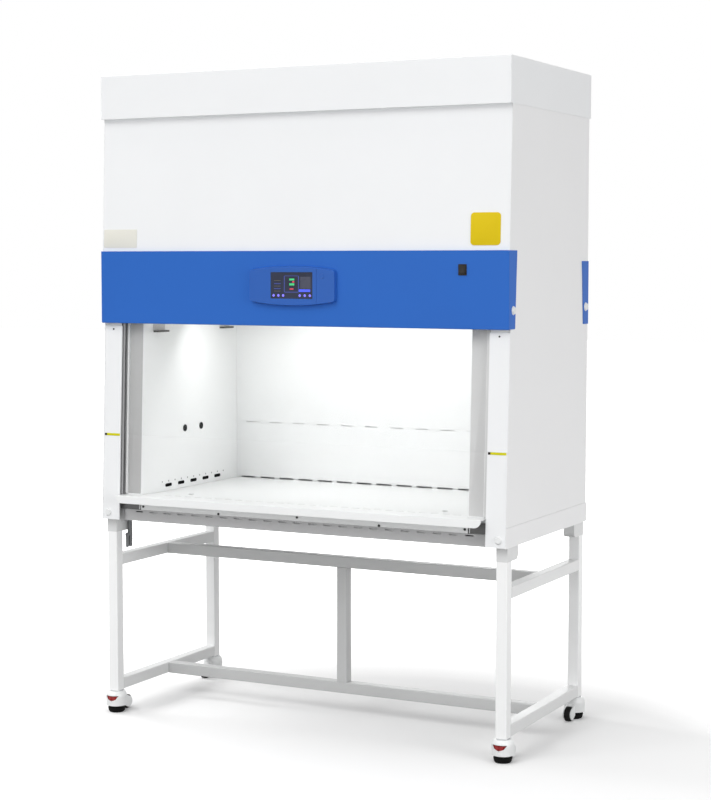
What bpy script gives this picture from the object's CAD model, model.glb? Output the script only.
import math

import bmesh
import bpy
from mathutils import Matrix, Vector


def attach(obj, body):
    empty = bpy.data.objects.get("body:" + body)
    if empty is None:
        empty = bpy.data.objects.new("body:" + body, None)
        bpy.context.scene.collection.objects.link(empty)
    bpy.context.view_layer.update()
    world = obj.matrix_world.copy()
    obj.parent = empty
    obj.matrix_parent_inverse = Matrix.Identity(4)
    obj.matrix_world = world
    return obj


# %% [markdown]
# # A biosafety cabinet on a castored stand
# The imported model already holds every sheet, tube and glass pane in its place, so this
# lesson dresses it: paint, plastic and rubber for the solids, then the small pieces that
# a fitter adds last, and at the end the studio, the lamps and the camera.

# %% Load the frame
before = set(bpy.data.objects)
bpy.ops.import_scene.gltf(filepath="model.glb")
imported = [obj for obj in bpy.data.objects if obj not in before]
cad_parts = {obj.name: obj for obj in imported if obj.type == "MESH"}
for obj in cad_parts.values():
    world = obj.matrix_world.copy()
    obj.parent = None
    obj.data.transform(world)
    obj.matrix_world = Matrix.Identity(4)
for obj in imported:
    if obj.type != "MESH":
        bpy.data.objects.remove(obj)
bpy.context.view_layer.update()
bpy.ops.object.select_all(action="DESELECT")

# %% [markdown]
# ## One recipe for every finish
# A real surface is never one flat colour. Each finish here starts from two close tones
# mixed by a soft noise, takes a roughness that wanders a little, and gets a bump at the
# scale of its own grain. Object coordinates are in metres, so a scale of 900 gives
# grains near one millimetre.


# %% Finish recipe
def spread_over(nodes, links, value, found, wanted):
    """Map one range of values onto another; each range is (low, high)."""
    mapped = nodes.new("ShaderNodeMapRange")
    mapped.inputs["From Min"].default_value, mapped.inputs["From Max"].default_value = found
    mapped.inputs["To Min"].default_value, mapped.inputs["To Max"].default_value = wanted
    links.new(value, mapped.inputs["Value"])
    return mapped.outputs["Result"]


cloud_range = (0.3, 0.7)


def finish(name, tones, tone_scale=(3, 3, 3), rough=(0.4, 0.5), grain=900, bump=0.04, depth=0.0002, **socket):
    """A procedural surface: two tones, wandering roughness and a fine bump."""
    material = bpy.data.materials.new(name)
    material.use_nodes = True
    nodes, links = material.node_tree.nodes, material.node_tree.links
    shader = nodes["Principled BSDF"]
    for key, value in socket.items():
        shader.inputs[key.replace("_", " ")].default_value = value
    place = nodes.new("ShaderNodeTexCoord")
    stretch = nodes.new("ShaderNodeMapping")
    stretch.inputs["Scale"].default_value = tone_scale
    links.new(place.outputs["Object"], stretch.inputs["Vector"])
    cloud = nodes.new("ShaderNodeTexNoise")
    cloud.inputs["Scale"].default_value = 1.0
    cloud.inputs["Detail"].default_value = 4.0
    links.new(stretch.outputs["Vector"], cloud.inputs["Vector"])
    ramp = nodes.new("ShaderNodeValToRGB")
    for stop, position, tone in zip(ramp.color_ramp.elements, cloud_range, tones):
        stop.position = position
        stop.color = (*tone, 1)
    links.new(cloud.outputs["Fac"], ramp.inputs["Fac"])
    links.new(ramp.outputs["Color"], shader.inputs["Base Color"])
    gloss = spread_over(nodes, links, cloud.outputs["Fac"], cloud_range, rough)
    links.new(gloss, shader.inputs["Roughness"])
    speck = nodes.new("ShaderNodeTexNoise")
    speck.inputs["Scale"].default_value = grain
    speck.inputs["Detail"].default_value = 2.0
    links.new(place.outputs["Object"], speck.inputs["Vector"])
    relief = nodes.new("ShaderNodeBump")
    relief.inputs["Strength"].default_value = bump
    relief.inputs["Distance"].default_value = depth
    links.new(speck.outputs["Fac"], relief.inputs["Height"])
    links.new(relief.outputs["Normal"], shader.inputs["Normal"])
    return material


def shades(red, green, blue, spread=0.03):
    """Two close tones around a colour."""
    low = tuple(max(0.0, v * (1 - spread)) for v in (red, green, blue))
    high = tuple(min(1.0, v * (1 + spread)) for v in (red, green, blue))
    return low, high


# %% [markdown]
# ## Powder coat
# The shell and the stand are sprayed with powder that melts into a satin skin with a faint
# orange peel. One recipe serves all the painted sheets; only the tone changes from the
# bright front to the cooler sides and the blue fascia.

# %% Painted sheets and tubes
def sheet_paint(name, colour, spread=0.01, **socket):
    """The satin coat of the folded sheets."""
    return finish(name, shades(*colour, spread), rough=(0.42, 0.5), grain=700, bump=0.05, **socket)


def tube_paint(name, colour):
    """The slightly coarser coat of the stand."""
    return finish(name, shades(*colour, 0.012), rough=(0.4, 0.5), grain=800, bump=0.06)


front_white = sheet_paint("front_white", (0.86, 0.87, 0.88), Specular_IOR_Level=0.3)
side_grey = sheet_paint("side_grey", (0.85, 0.85, 0.855))
fascia_blue = sheet_paint("fascia_blue", (0.027, 0.136, 0.520), 0.02, Specular_IOR_Level=0.12)
apron_grey = finish("apron_grey", shades(0.43, 0.43, 0.435, 0.02), rough=(0.38, 0.46), grain=700, bump=0.05)
chamber_white = finish(
    "chamber_white", shades(0.84, 0.85, 0.85, 0.01), rough=(0.3, 0.36), grain=900, bump=0.03
)
stand_white = tube_paint("stand_white", (0.92, 0.925, 0.925))
rail_white = tube_paint("rail_white", (0.78, 0.785, 0.785))
bracket_grey = tube_paint("bracket_grey", (0.70, 0.705, 0.705))
crossbar_grey = tube_paint("crossbar_grey", (0.55, 0.555, 0.555))
print("materials in the file", len(bpy.data.materials))

# %% [markdown]
# ## Bare metal, plastic and rubber
# Metals are stretched along their brushing, so the tone cloud is squeezed hard across it.
# Plastics share one leather-like grain, and rubber is darker and rougher.

# %% Metals
alloy = finish("alloy", shades(0.62, 0.63, 0.64, 0.06), (4, 500, 500), (0.28, 0.42), 1200, 0.05, Metallic=1.0)
steel_pins = finish(
    "steel_pins", shades(0.55, 0.56, 0.57, 0.06), (300, 300, 20), (0.22, 0.36), 1200, 0.05, Metallic=1.0
)
guide_grey = finish(
    "guide_grey", shades(0.27, 0.27, 0.275, 0.05), (40, 40, 2), (0.35, 0.45), 900, 0.04, Metallic=0.3
)
dark_iron = finish("dark_iron", shades(0.055, 0.058, 0.062, 0.1), (20, 20, 20), (0.45, 0.6), 600, 0.12)

# %% Plastics, rubber and paper
castor_white = finish("castor_white", shades(0.84, 0.85, 0.85, 0.02), (20, 20, 20), (0.3, 0.4), 1100, 0.06)
wheel_black = finish(
    "wheel_black", shades(0.005, 0.005, 0.005, 0.3), (60, 60, 60), (0.55, 0.7), 900, 0.15,
    Specular_IOR_Level=0.15,
)
pad_rubber = finish(
    "pad_rubber", shades(0.004, 0.004, 0.004, 0.3), (60, 60, 60), (0.6, 0.75), 900, 0.2,
    Specular_IOR_Level=0.1,
)
dial_red = finish("dial_red", shades(0.30, 0.006, 0.006, 0.1), (60, 60, 60), (0.3, 0.4), 1200, 0.06)
pod_blue = finish(
    "pod_blue", shades(0.022, 0.108, 0.430, 0.02), (10, 10, 10), (0.32, 0.4), 1500, 0.04,
    Specular_IOR_Level=0.2,
)
switch_black = finish(
    "switch_black", shades(0.014, 0.012, 0.010, 0.2), (80, 80, 80), (0.28, 0.4), 1500, 0.06,
    Specular_IOR_Level=0.15,
)
plug_white = finish("plug_white", shades(0.78, 0.79, 0.79, 0.02), (60, 60, 60), (0.3, 0.4), 1500, 0.05)
belt_black = finish("belt_black", shades(0.018, 0.018, 0.018, 0.2), (80, 80, 80), (0.6, 0.75), 700, 0.2)
bracket_white = finish("bracket_white", shades(0.60, 0.60, 0.60, 0.02), (20, 20, 20), (0.4, 0.5), 900, 0.05)
drain_grey = finish("drain_grey", shades(0.13, 0.135, 0.14, 0.08), (60, 60, 60), (0.35, 0.5), 1200, 0.08)
lever_grey = finish("lever_grey", shades(0.17, 0.175, 0.18, 0.05), (60, 60, 60), (0.35, 0.45), 1500, 0.05)
filter_paper = finish("filter_paper", shades(0.78, 0.76, 0.68, 0.05), (40, 40, 40), (0.8, 0.95), 500, 0.3)
print("materials in the file", len(bpy.data.materials))

# %% [markdown]
# ## Glass, screen and lamp
# The sash is clean float glass. A low alpha lets the chamber show through and keeps the
# shadow rays cheap, and the tone cloud stays almost colourless with a breath of green.

# %% Glass, screen and lamp tube
def light_up(material, colour, strength):
    """Let a finish give off light of its own."""
    shader = material.node_tree.nodes["Principled BSDF"]
    shader.inputs["Emission Color"].default_value = (*colour, 1)
    shader.inputs["Emission Strength"].default_value = strength
    return material


sash_clear = finish(
    "sash_clear", shades(0.90, 0.96, 0.95, 0.01), (2, 2, 2), (0.02, 0.04), 5, 0.002, Alpha=0.02
)
screen_glass = finish("screen_glass", shades(0.004, 0.010, 0.040, 0.3), (12, 12, 12), (0.08, 0.14), 200, 0.01)
lamp_tube = finish("lamp_tube", shades(0.9, 0.92, 0.92, 0.01), (10, 10, 10), (0.2, 0.3), 600, 0.02)
light_up(lamp_tube, (1, 1, 1), 2.0)

# %% [markdown]
# ## A band that ends at a height
# The hanging brackets are pale with a dark lower lip. A greater-than node on the Object
# height picks between the finish that is already there and one darker tone.

# %% Dark lip of the brackets
lip_top = 1.3277
lip_tone = (0.05, 0.045, 0.04)
nodes, links = bracket_white.node_tree.nodes, bracket_white.node_tree.links
shader = nodes["Principled BSDF"]
pale_tone = shader.inputs["Base Color"].links[0].from_socket
place = nodes.new("ShaderNodeTexCoord")
split = nodes.new("ShaderNodeSeparateXYZ")
links.new(place.outputs["Object"], split.inputs["Vector"])
above = nodes.new("ShaderNodeMath")
above.operation = "GREATER_THAN"
above.inputs[1].default_value = lip_top
links.new(split.outputs["Z"], above.inputs[0])
lip_or_body = nodes.new("ShaderNodeMixRGB")
lip_or_body.inputs["Color1"].default_value = (*lip_tone, 1)
links.new(above.outputs["Value"], lip_or_body.inputs["Fac"])
links.new(pale_tone, lip_or_body.inputs["Color2"])
links.new(lip_or_body.outputs["Color"], shader.inputs["Base Color"])
print("lip below", lip_top)

# %% [markdown]
# ## Hand each node its finish
# A node keeps its shape and only swaps what fills its material slots.

# %% Assign the finishes
wearers = {
    front_white: ["top_cover", "front_panel", "front_posts"],
    side_grey: ["side_panels", "base_frame", "back_panel"],
    stand_white: ["stand_legs"],
    bracket_grey: ["stand_brackets"],
    rail_white: ["stand_side_rails"],
    crossbar_grey: ["stand_crossbars"],
    chamber_white: ["chamber_walls", "header", "diffuser", "work_tray", "armrest", "sump"],
    fascia_blue: ["fascia", "rear_trims"],
    apron_grey: ["lower_front_panel"],
    bracket_white: ["diffuser_brackets"],
    guide_grey: ["sash_guides"],
    alloy: ["plenum_box", "blower_housing", "impeller", "sash_brackets", "drive_shaft", "idler_pulleys"],
    steel_pins: ["castor_stems"],
    dark_iron: ["fan_motor", "sash_bearings", "sash_motor"],
    pod_blue: ["control_pod", "pod_button"],
    switch_black: ["switch_frame", "rocker"],
    plug_white: ["round_caps"],
    belt_black: ["sash_belts"],
    drain_grey: ["drain_valve"],
    lever_grey: ["drain_lever"],
    filter_paper: ["supply_filter", "exhaust_filter"],
    sash_clear: ["sash_glass"],
    screen_glass: ["touch_screen"],
    lamp_tube: ["lamp"],
}
corners = ("front_left", "front_right", "rear_left", "rear_right")
wearers[castor_white] = [f"castor_housing_{corner}" for corner in corners]
wearers[wheel_black] = [f"castor_wheel_{corner}" for corner in corners]
wearers[pad_rubber] = [f"castor_pad_{corner}" for corner in corners]
wearers[dial_red] = [f"castor_dial_{corner}" for corner in corners]
for material, names in wearers.items():
    for name in names:
        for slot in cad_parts[name].material_slots:
            slot.material = material
print("dressed", sum(len(names) for names in wearers.values()), "nodes")

# %% [markdown]
# ## Tools for small fittings
# The pieces below are screwed, glued or clipped on after the shell is closed. Each starts
# as a primitive at its size and place and is shaped in edit mode. Edges and faces are
# picked by their direction, the way one would pick them by eye.


# %% Modelling helpers
def begin(name):
    """Name the new primitive and open it in edit mode with nothing selected."""
    piece = bpy.context.object
    piece.name = name
    bpy.ops.object.transform_apply(location=False, rotation=False, scale=True)
    bpy.ops.object.mode_set(mode="EDIT")
    bpy.ops.mesh.select_all(action="DESELECT")
    return piece


def pick_edges(piece, wanted):
    """Select the edges whose two ends satisfy wanted."""
    bpy.ops.mesh.select_mode(type="EDGE")
    sketch = bmesh.from_edit_mesh(piece.data)
    for edge in sketch.edges:
        edge.select_set(wanted(edge.verts[0].co, edge.verts[1].co))
    bmesh.update_edit_mesh(piece.data)


def pick_faces(piece, normal, least=0.99):
    """Select the faces that look along a direction."""
    bpy.ops.mesh.select_mode(type="FACE")
    sketch = bmesh.from_edit_mesh(piece.data)
    for face in sketch.faces:
        face.select_set(face.normal.dot(Vector(normal)) > least)
    bmesh.update_edit_mesh(piece.data)


def complete(piece, material, body="cabinet", ease=0.0):
    """Ease the edges, fix the place in the mesh, give the finish and the body."""
    if bpy.context.mode != "OBJECT":
        bpy.ops.object.mode_set(mode="OBJECT")
    bpy.ops.object.select_all(action="DESELECT")
    piece.select_set(True)
    bpy.context.view_layer.objects.active = piece
    if ease:
        round_over = piece.modifiers.new("ease", "BEVEL")
        round_over.width = ease
        round_over.segments = 2
        round_over.limit_method = "ANGLE"
        bpy.ops.object.modifier_apply(modifier=round_over.name)
    bpy.ops.object.transform_apply(location=True, rotation=True, scale=True)
    bpy.ops.object.shade_smooth_by_angle(angle=math.radians(35))
    piece.data.materials.clear()
    piece.data.materials.append(material)
    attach(piece, body)
    print(piece.name, "faces", len(piece.data.polygons))
    return piece


def rounded_block(name, centre, size, corner, axis, lean=0.0):
    """A block whose four edges along one axis (0, 1 or 2) are rounded, leaning back by lean."""
    bpy.ops.object.select_all(action="DESELECT")
    bpy.ops.mesh.primitive_cube_add(size=1, location=centre, rotation=(-lean, 0, 0))
    bpy.context.object.scale = size
    piece = begin(name)
    pick_edges(piece, lambda a, b: 2 * abs((a - b)[axis]) > sum(map(abs, a - b)))
    bpy.ops.mesh.bevel(offset=corner, segments=6, affect="EDGES")
    bpy.ops.object.mode_set(mode="OBJECT")
    return piece


def plate(name, centre, size, corner, lean=0.0):
    """A thin plate that faces the front."""
    return rounded_block(name, centre, size, corner, 1, lean)


def wall_tile(name, centre, size, corner):
    """A thin tile on a side wall; its size is (depth, height)."""
    return rounded_block(name, centre, (0.0006, *size), corner, 0)


def disc(place, radius, depth, turn, sides=18):
    """A flat cylinder, turned from lying on the floor."""
    bpy.ops.object.select_all(action="DESELECT")
    bpy.ops.mesh.primitive_cylinder_add(
        vertices=sides, radius=radius, depth=depth, location=place, rotation=turn
    )
    return bpy.context.object


def sink_top(piece, thickness, depth=0.0):
    """Inset the top face and push it in along the piece's own axis."""
    pick_faces(piece, (0, 0, 1))
    bpy.ops.mesh.inset(thickness=thickness)
    if depth:
        bpy.ops.transform.translate(value=(0, 0, -depth), orient_type="LOCAL")
    bpy.ops.object.mode_set(mode="OBJECT")
    return piece


def merge(name, parts):
    """Join several parts into one piece."""
    bpy.ops.object.select_all(action="DESELECT")
    for part in parts:
        part.select_set(True)
    bpy.context.view_layer.objects.active = parts[0]
    bpy.ops.object.transform_apply(location=True, rotation=True, scale=True)
    if len(parts) > 1:
        bpy.ops.object.join()
    parts[0].name = name
    return parts[0]


# %% [markdown]
# ## Where the faces are
# The posts lean back by 2.4 degrees and the upper panel by about two, so anything fixed
# to them leans as well. Lengths are in metres, measured from the floor and the middle.

# %% Faces to build on
stand_front = -0.3265
post_foot = 0.679
post_lean = math.radians(2.4)
panel_foot = 1.584
panel_lean = math.atan(16 / 447)
strip_thickness = 0.0012
print("post lean", round(math.degrees(post_lean), 2), "panel lean", round(math.degrees(panel_lean), 2))


def post_face(height, depth=0.0):
    """Y on the post's sloped face at a height, or depth behind it."""
    return stand_front - 0.025 + (height - post_foot) * math.tan(post_lean) + depth / math.cos(post_lean)


def panel_face(height):
    """Y on the upper front panel at a height."""
    return stand_front - 0.006 + (height - panel_foot) * math.tan(panel_lean)


def upright(name, x, depth, heights, section, corner):
    """A strip between two heights that leans with the post, set back behind its face by depth."""
    middle = sum(heights) / 2
    length = (heights[1] - heights[0]) / math.cos(post_lean)
    return plate(name, (x, post_face(middle, depth), middle), (*section, length), corner, post_lean)


# %% [markdown]
# ## Blank plates
# The cabinet carries a square yellow plate by the corner and a small pale one at the other
# end. Both stay bare. A plate is a flattened cube whose four short edges are bevelled into
# round corners, and then all sharp edges are eased so they catch a thin light.

# %% Yellow plate and pale plate
def sign_paint(name, colour, **socket):
    """The smooth coat of plates and marks."""
    return finish(name, shades(*colour, 0.02), rough=(0.4, 0.5), grain=900, bump=0.04, **socket)


plate_yellow = sign_paint("plate_yellow", (0.72, 0.53, 0.008), Specular_IOR_Level=0.1)
plate_pale = sign_paint("plate_pale", (0.74, 0.73, 0.66))
yellow_x, yellow_height, yellow_size = 0.6683, 1.665, (0.1005, 0.0012, 0.101)
yellow_place = (yellow_x, panel_face(yellow_height) - 0.0009, yellow_height)
yellow = plate("blank_yellow_plate", yellow_place, yellow_size, 0.012, panel_lean)
complete(yellow, plate_yellow, ease=0.0003)
pale_x, pale_height, pale_size = -0.6785, 1.642, (0.133, 0.0008, 0.062)
pale_place = (pale_x, panel_face(pale_height) - 0.0008, pale_height)
pale = plate("blank_pale_plate", pale_place, pale_size, 0.003, panel_lean)
complete(pale, plate_pale, ease=0.0002)

# %% [markdown]
# ## Working-height stripes
# A yellow strip with a black end on each post marks a height for the sash.

# %% Stripes
stripe_yellow = sign_paint("stripe_yellow", (0.62, 0.60, 0.008), Specular_IOR_Level=0.1)
stripe_height = 0.973
stripe_face = post_face(stripe_height) - 0.0005
for side, left in (("left", -0.7445), ("right", 0.683)):
    for tone, paint, slot, inset, width in (
        ("yellow", stripe_yellow, "plate_yellow", 0.036, 0.053),
        ("black", switch_black, "black_plastic", 0.0055, 0.009),
    ):
        place = (left + inset, stripe_face, stripe_height)
        stripe = plate(f"stripe_{tone}_{side}", place, (width, 0.0006, 0.008), 0.0008, post_lean)
        complete(stripe, paint, ease=0.0001)

# %% [markdown]
# ## Screws
# A pan-head screw is a short cylinder. Its front face is inset and pushed in for the
# driver, and its rim is bevelled. One screw is modelled, then copied to the other places,
# each copy with its own mesh.


# %% Screws
def pan_screw(name, place, radius, lean=0.0):
    """A pan-head screw that faces the front, its seat at place."""
    height = radius * 0.55
    x, y, z = place
    disc((x, y - height / 2, z), radius, height, (math.pi / 2 - lean, 0, 0))
    head = begin(name)
    pick_faces(head, (0, 0, 1))
    bpy.ops.mesh.bevel(offset=radius * 0.25, segments=3, affect="EDGES")
    return sink_top(head, radius * 0.3, height * 0.5)


def copies(first, places, anchor):
    """Copies of a finished shape at other places, each with its own mesh."""
    made = [first]
    for place in places:
        bpy.ops.object.select_all(action="DESELECT")
        first.select_set(True)
        bpy.context.view_layer.objects.active = first
        bpy.ops.object.duplicate(linked=False)
        bpy.context.object.location = first.location + Vector(place) - Vector(anchor)
        made.append(bpy.context.object)
    return made


def screw_row(name, places, radius, body="cabinet", lean=0.0):
    """One screw at the first place and a copy at each other place, joined."""
    first = pan_screw(name, places[0], radius, lean)
    complete(merge(name, copies(first, places[1:], places[0])), screw_dark, body=body)


screw_dark = finish(
    "screw_dark", shades(0.03, 0.03, 0.03, 0.2), (200, 200, 200), (0.3, 0.45), 1500, 0.08, Metallic=0.5
)
seat = 0.0001
skirt_face = stand_front + 0.0042 - seat
skirt_high, skirt_low = 0.728, 0.7205
skirt_places = [(0.3 * step, skirt_face, skirt_low if step % 2 else skirt_high) for step in range(-2, 3)]
screw_row("skirt_screws", skirt_places, 0.0042, body="armrest")
post_screw_height = 1.334
post_places = [(x, post_face(post_screw_height) - seat, post_screw_height) for x in (-0.714, 0.714)]
screw_row("post_screws", post_places, 0.003, lean=post_lean)

# %% [markdown]
# ## Glass seal
# A pale lip seal runs up each guide beside the glass. It is drawn as one long cube whose
# front edges are rounded, leaning with the post.

# %% Glass seals
seal_white = finish("seal_white", shades(0.80, 0.81, 0.81, 0.02), (30, 30, 30), (0.4, 0.5), 900, 0.08)
for side, x in (("left", -0.6675), ("right", 0.6675)):
    seal = upright(f"glass_seal_{side}", x, 0.0247, (0.772, 1.36), (0.0075, 0.006), 0.0012)
    complete(seal, seal_white, ease=0.0008)

# %% [markdown]
# ## Jamb covers
# A grey strip hides each jamb between the chamber's edge and the guide. It is a long flat
# cube with eased edges that leans with the post.

# %% Jamb covers
jamb_grey = finish("jamb_grey", shades(0.42, 0.42, 0.42, 0.015), (20, 20, 3), (0.4, 0.5), 800, 0.06)
jamb_pale = finish("jamb_pale", shades(0.64, 0.64, 0.64, 0.015), (20, 20, 3), (0.4, 0.5), 800, 0.06)
jamb_heights = (0.7715, 1.352)
for side, x, tone in (("left", -0.6372, jamb_grey), ("right", 0.6372, jamb_pale)):
    cover = upright(f"jamb_cover_{side}", x, 0.0273, jamb_heights, (0.0505, strip_thickness), 0.002)
    complete(cover, tone, ease=0.0003)

# %% [markdown]
# ## Strips at the posts
# A flat tongue closes each post behind the fascia, a short grey strip closes the skirt
# against each post, and a dark rubber strip seals the gap above it under the armrest's
# end. A narrow pale strip faces the right guide.

# %% Tongues, skirt ends, end seals and guide strip
seal_grey = finish("seal_grey", shades(0.13, 0.13, 0.13, 0.05), (40, 40, 40), (0.55, 0.7), 900, 0.1)
tongue_height = 1.3475
tongue_face = post_face(tongue_height, 0.003)
skirt_end_height, end_seal_height = 0.6965, 0.7345
for side, sign in (("left", -1), ("right", 1)):
    tongue_place = (sign * 0.715, tongue_face, tongue_height)
    tongue = plate(f"post_tongue_{side}", tongue_place, (0.064, strip_thickness, 0.022), 0.001, post_lean)
    complete(tongue, front_white, ease=0.0002)
    skirt_end_place = (sign * 0.689, stand_front + 0.005, skirt_end_height)
    skirt_end = plate(f"skirt_end_{side}", skirt_end_place, (0.023, 0.0014, 0.039), 0.0004)
    complete(skirt_end, apron_grey, ease=0.0002)
    end_seal_place = (sign * 0.659, stand_front + 0.0041, end_seal_height)
    end_seal = plate(f"end_seal_{side}", end_seal_place, (0.083, strip_thickness, 0.0345), 0.0004)
    complete(end_seal, seal_grey, ease=0.0002)
facing = upright("guide_strip_right", 0.6765, 0.007, jamb_heights, (0.0075, strip_thickness), 0.0005)
complete(facing, jamb_pale, ease=0.0003)

# %% [markdown]
# ## Slot liners and vents
# Each side wall has a row of five slots with black liners and a row of small grey vents
# above them.

# %% Liners and vents
liner_black = finish(
    "liner_black", shades(0.002, 0.002, 0.002, 0.3), (80, 80, 80), (0.6, 0.75), 900, 0.1,
    Specular_IOR_Level=0.05,
)
vent_grey = finish("vent_grey", shades(0.30, 0.30, 0.30, 0.1), (80, 80, 80), (0.5, 0.6), 900, 0.1)
wall_x = 0.61
slot_depths, slot_height = [0.179 + 0.082 * index for index in range(5)], 0.784
vent_depths, vent_height = [0.139 + 0.041 * index for index in range(11)], 0.798
for side, sign in (("left", -1), ("right", 1)):
    liners = [
        wall_tile("liner", (sign * wall_x, stand_front + depth, slot_height), (0.042, 0.0115), 0.0054)
        for depth in slot_depths
    ]
    complete(merge(f"slot_liners_{side}", liners), liner_black, ease=0.0001)
    vents = [
        disc((sign * wall_x, stand_front + depth, vent_height), 0.003, 0.0006, (0, math.pi / 2, 0))
        for depth in vent_depths
    ]
    complete(merge(f"wall_vents_{side}", vents), vent_grey, ease=0.0001)

# %% [markdown]
# ## Port grommets and plugs
# Two service ports open in each side wall of the chamber. A black rubber grommet lines
# each one: a ring made from a torus, flattened against the wall. A plug closes it: a short
# cylinder with a recess, sitting a little inside the wall.


# %% Port grommets
def grommet_ring(place):
    """A rubber ring against a side wall."""
    bpy.ops.object.select_all(action="DESELECT")
    bpy.ops.mesh.primitive_torus_add(
        location=place,
        rotation=(0, math.pi / 2, 0),
        major_segments=36,
        minor_segments=12,
        major_radius=0.0112,
        minor_radius=0.0012,
    )
    ring = begin("ring")
    bpy.ops.mesh.select_all(action="SELECT")
    bpy.ops.transform.resize(value=(1, 1, 0.9), orient_type="LOCAL")
    bpy.ops.object.mode_set(mode="OBJECT")
    return ring


def port_plug(place, sign):
    """A recessed plug whose open face looks into the chamber."""
    disc(place, 0.0105, 0.004, (0, -sign * math.pi / 2, 0), 36)
    return sink_top(begin("plug"), 0.003, 0.001)


ring_x, plug_x, port_height = 0.6088, 0.6112, 0.976
for side, sign in (("left", -1), ("right", 1)):
    fittings = []
    for depth in (0.288, 0.396):
        fittings.append(grommet_ring((sign * ring_x, stand_front + depth, port_height)))
        fittings.append(port_plug((sign * plug_x, stand_front + depth, port_height), sign))
    complete(merge(f"port_grommets_{side}", fittings), liner_black)

# %% [markdown]
# ## What the screen shows
# The touch panel is lit with plain blocks: a framed column of state bars, a wide bar and a
# row of round keys. They are thin tiles that lie on the glass, and each colour glows a
# little, as a display does. Nothing on it is a word.


# %% Screen tiles
def glow(name, colour, strength):
    """A lit display colour."""
    material = finish(name, shades(*colour, 0.05), (200, 200, 200), (0.15, 0.25), 2000, 0.01)
    return light_up(material, colour, strength)


screen_left, screen_top = -0.07675, 1.53025
screen_width, screen_height = 0.1535, 0.0855
screen_front = stand_front - 0.03


def tile(name, left, right, top, bottom, corner=0.0008):
    """A thin tile on the screen; its sides are shares of the screen's width and height."""
    centre = (
        screen_left + (left + right) / 2 * screen_width,
        screen_front - 0.00008,
        screen_top - (top + bottom) / 2 * screen_height,
    )
    size = ((right - left) * screen_width, 0.00012, (bottom - top) * screen_height)
    return plate(name, centre, size, corner)


tile_colours = {
    "screen_frame": (glow("glow_navy", (0.02, 0.035, 0.20), 0.5), [
        (0.32, 0.34, 0.14, 0.76), (0.66, 0.68, 0.14, 0.76),
        (0.34, 0.66, 0.74, 0.77), (0.34, 0.66, 0.13, 0.15),
        (0.08, 0.24, 0.42, 0.45), (0.08, 0.24, 0.61, 0.64),
    ]),
    "screen_green": (glow("glow_green", (0.03, 0.42, 0.14), 0.6), [
        (0.45, 0.57, 0.24, 0.31), (0.45, 0.57, 0.42, 0.50),
    ]),
    "screen_red": (glow("glow_red", (0.50, 0.03, 0.06), 0.6), [
        (0.52, 0.57, 0.335, 0.395), (0.46, 0.55, 0.61, 0.66),
    ]),
    "screen_bar": (glow("glow_blue", (0.04, 0.07, 0.75), 0.9), [(0.68, 0.95, 0.65, 0.74)]),
    "screen_lines": (glow("glow_tan", (0.10, 0.09, 0.06), 0.3), [
        (0.08, 0.24, 0.31, 0.325), (0.08, 0.24, 0.52, 0.535), (0.08, 0.24, 0.71, 0.725),
    ]),
    "screen_panel": (glow("glow_slate", (0.02, 0.024, 0.05), 0.3), [(0.71, 0.96, 0.17, 0.62)]),
}
for name, (material, areas) in tile_colours.items():
    tiles = merge(name, [tile(f"{name}_{index}", *area) for index, area in enumerate(areas)])
    complete(tiles, material)

# %% Round keys
key_height = screen_top - 0.88 * screen_height
keys = []
for share in (0.07, 0.185, 0.30, 0.70, 0.82, 0.94):
    key_place = (screen_left + share * screen_width, screen_front - 0.0001, key_height)
    disc(key_place, 0.0042, 0.00016, (math.pi / 2, 0, 0), 24)
    keys.append(sink_top(begin("key"), 0.0008))
complete(merge("screen_keys", keys), glow("glow_violet", (0.16, 0.14, 0.80), 0.9))

# %% [markdown]
# ## Studio floor
# One large plane carries the shadow. The camera sees it pale, with a glow that grows away
# from the object until it meets the white backdrop, the way a studio sweep does.
# For the light that bounces between surfaces it is darker, so undersides stay in shade.

# %% Floor
bpy.ops.object.select_all(action="DESELECT")
bpy.ops.mesh.primitive_plane_add(size=60, location=(0, 0, 0))
floor = bpy.context.object
floor.name = "studio_floor"
floor_paint = bpy.data.materials.new("floor_paint")
floor_paint.use_nodes = True
floor.data.materials.append(floor_paint)


def seen_directly(nodes, links):
    """1 for rays from the camera and for mirror-like ones, 0 for diffuse bounces."""
    ray = nodes.new("ShaderNodeLightPath")
    either = nodes.new("ShaderNodeMath")
    either.operation = "MAXIMUM"
    links.new(ray.outputs["Is Camera Ray"], either.inputs[0])
    links.new(ray.outputs["Is Glossy Ray"], either.inputs[1])
    return either.outputs["Value"]


sweep_centre = (0.3, -0.6, 0)
nodes, links = floor_paint.node_tree.nodes, floor_paint.node_tree.links
nodes.remove(nodes["Principled BSDF"])
pale = nodes.new("ShaderNodeBsdfDiffuse")
pale.inputs["Color"].default_value = (0.88, 0.88, 0.88, 1)
dim = nodes.new("ShaderNodeBsdfDiffuse")
dim.inputs["Color"].default_value = (0.36, 0.36, 0.36, 1)
place = nodes.new("ShaderNodeTexCoord")
distance = nodes.new("ShaderNodeVectorMath")
distance.operation = "DISTANCE"
distance.inputs[1].default_value = sweep_centre
links.new(place.outputs["Object"], distance.inputs[0])
sweep = spread_over(nodes, links, distance.outputs["Value"], (1.25, 2.4), (0.06, 1.0))
glow_up = nodes.new("ShaderNodeEmission")
links.new(sweep, glow_up.inputs["Strength"])
bright = nodes.new("ShaderNodeAddShader")
links.new(pale.outputs["BSDF"], bright.inputs[0])
links.new(glow_up.outputs["Emission"], bright.inputs[1])
choose = nodes.new("ShaderNodeMixShader")
links.new(seen_directly(nodes, links), choose.inputs["Fac"])
links.new(dim.outputs["BSDF"], choose.inputs[1])
links.new(bright.outputs["Shader"], choose.inputs[2])
links.new(choose.outputs["Shader"], nodes["Material Output"].inputs["Surface"])
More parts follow.
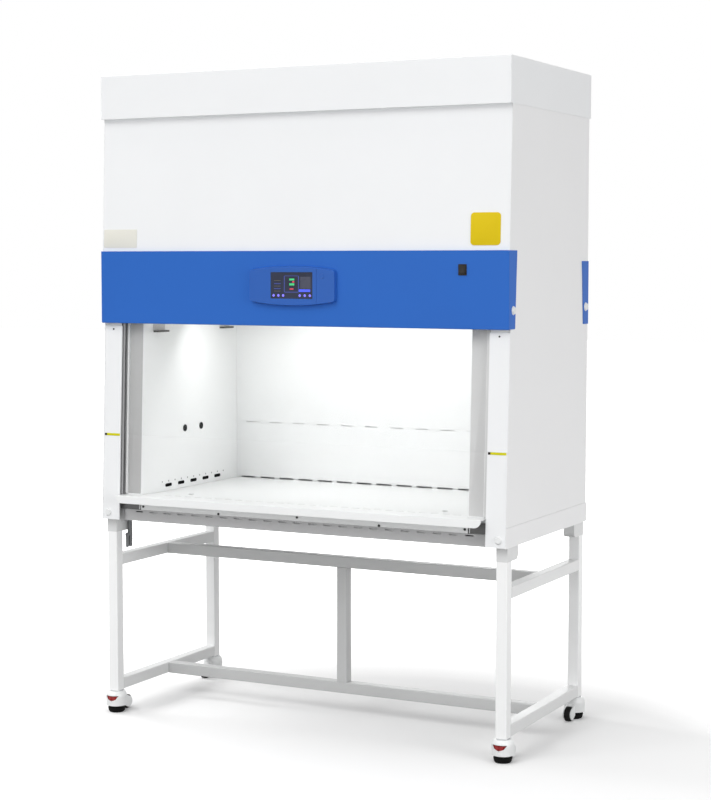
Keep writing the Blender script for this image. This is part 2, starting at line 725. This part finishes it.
print("floor sweep around", sweep_centre)

# %% [markdown]
# ## Sky
# The backdrop is white to the camera. As a lamp it is a dome that is brightest overhead
# and weak at the horizon.

# %% World
world = bpy.data.worlds.new("studio")
world.use_nodes = True
bpy.context.scene.world = world
nodes, links = world.node_tree.nodes, world.node_tree.links
dome = nodes["Background"]
direction = nodes.new("ShaderNodeTexCoord")
split = nodes.new("ShaderNodeSeparateXYZ")
links.new(direction.outputs["Generated"], split.inputs["Vector"])
dome_strength = spread_over(nodes, links, split.outputs["Z"], (0.0, 1.0), (0.26, 0.79))
links.new(dome_strength, dome.inputs["Strength"])
backdrop = nodes.new("ShaderNodeBackground")
backdrop.inputs["Color"].default_value = (1, 1, 1, 1)
dome.inputs["Color"].default_value = (1, 1, 1, 1)
mix = nodes.new("ShaderNodeMixShader")
links.new(seen_directly(nodes, links), mix.inputs["Fac"])
links.new(dome.outputs["Background"], mix.inputs[1])
links.new(backdrop.outputs["Background"], mix.inputs[2])
links.new(mix.outputs["Shader"], nodes["World Output"].inputs["Surface"])

# %% [markdown]
# ## Lamps
# A broad lamp high in front lights the faces that look at the camera, and a low one beside
# it lifts the shade under the cover. A weaker one from the right keeps the side a tone
# darker than the front, one from the upper left throws the floor's shadow to the right,
# and one behind lights the stand's rear tubes. Three small ones under the diffuser do the
# work of the cabinet's own lamp on the tray, the back wall and the left wall.


# %% Lamps
def soft_box(name, place, aim, size, power):
    """A rectangular area lamp that looks at a point."""
    bpy.ops.object.select_all(action="DESELECT")
    bpy.ops.object.light_add(type="AREA", location=place)
    lamp = bpy.context.object
    lamp.name = name
    lamp.data.shape = "RECTANGLE"
    lamp.data.size, lamp.data.size_y = size
    lamp.data.energy = power
    lamp.rotation_euler = (Vector(aim) - Vector(place)).to_track_quat("-Z", "Y").to_euler()
    return lamp


cabinet_middle = (0, 0, 1.1)
soft_box("key", (-3.4, -10.2, 11.0), cabinet_middle, (9.0, 9.0), 900)
soft_box("front_fill", (-2.5, -12.0, 1.5), cabinet_middle, (5.0, 5.0), 268)
soft_box("fill", (9.0, -3.0, 2.4), cabinet_middle, (4.0, 4.0), 300)
soft_box("left_key", (-7.0, 0.3, 6.6), (0, 0, 0.8), (3.6, 3.6), 280)
soft_box("back_fill", (-3.0, 10.0, 1.9), cabinet_middle, (4.0, 4.0), 170)
soft_box("chamber_light", (0.06, 0.08, 1.352), (0.06, 0.14, 0.8), (0.8, 0.44), 0.6)
soft_box("back_glow", (-0.03, -0.06, 1.33), (-0.03, 0.32, 1.0), (1.0, 0.08), 1.5)
soft_box("wall_glow", (-0.44, 0.03, 1.349), (-0.61, 0.04, 1.29), (0.12, 0.34), 0.15)
print("lamps", len(bpy.data.lights))

# %% [markdown]
# ## Camera
# The camera stands right of centre at eye height and looks slightly down through a long
# lens, so the uprights stay almost parallel.

# %% Camera
camera_data = bpy.data.cameras.new("studio_camera")
camera = bpy.data.objects.new("studio_camera", camera_data)
bpy.context.scene.collection.objects.link(camera)
camera.location = (2.9113, -5.6048, 1.5579)
look_down, roll, turn_left = 4.21, -0.03, 27.04
camera.rotation_euler = (math.radians(90 - look_down), math.radians(roll), math.radians(turn_left))
camera_data.lens = 83.38
camera_data.sensor_width = 36
bpy.context.scene.camera = camera
print("camera at", tuple(round(value, 3) for value in camera.location))
bpy.context.scene.view_settings.view_transform = "Standard"
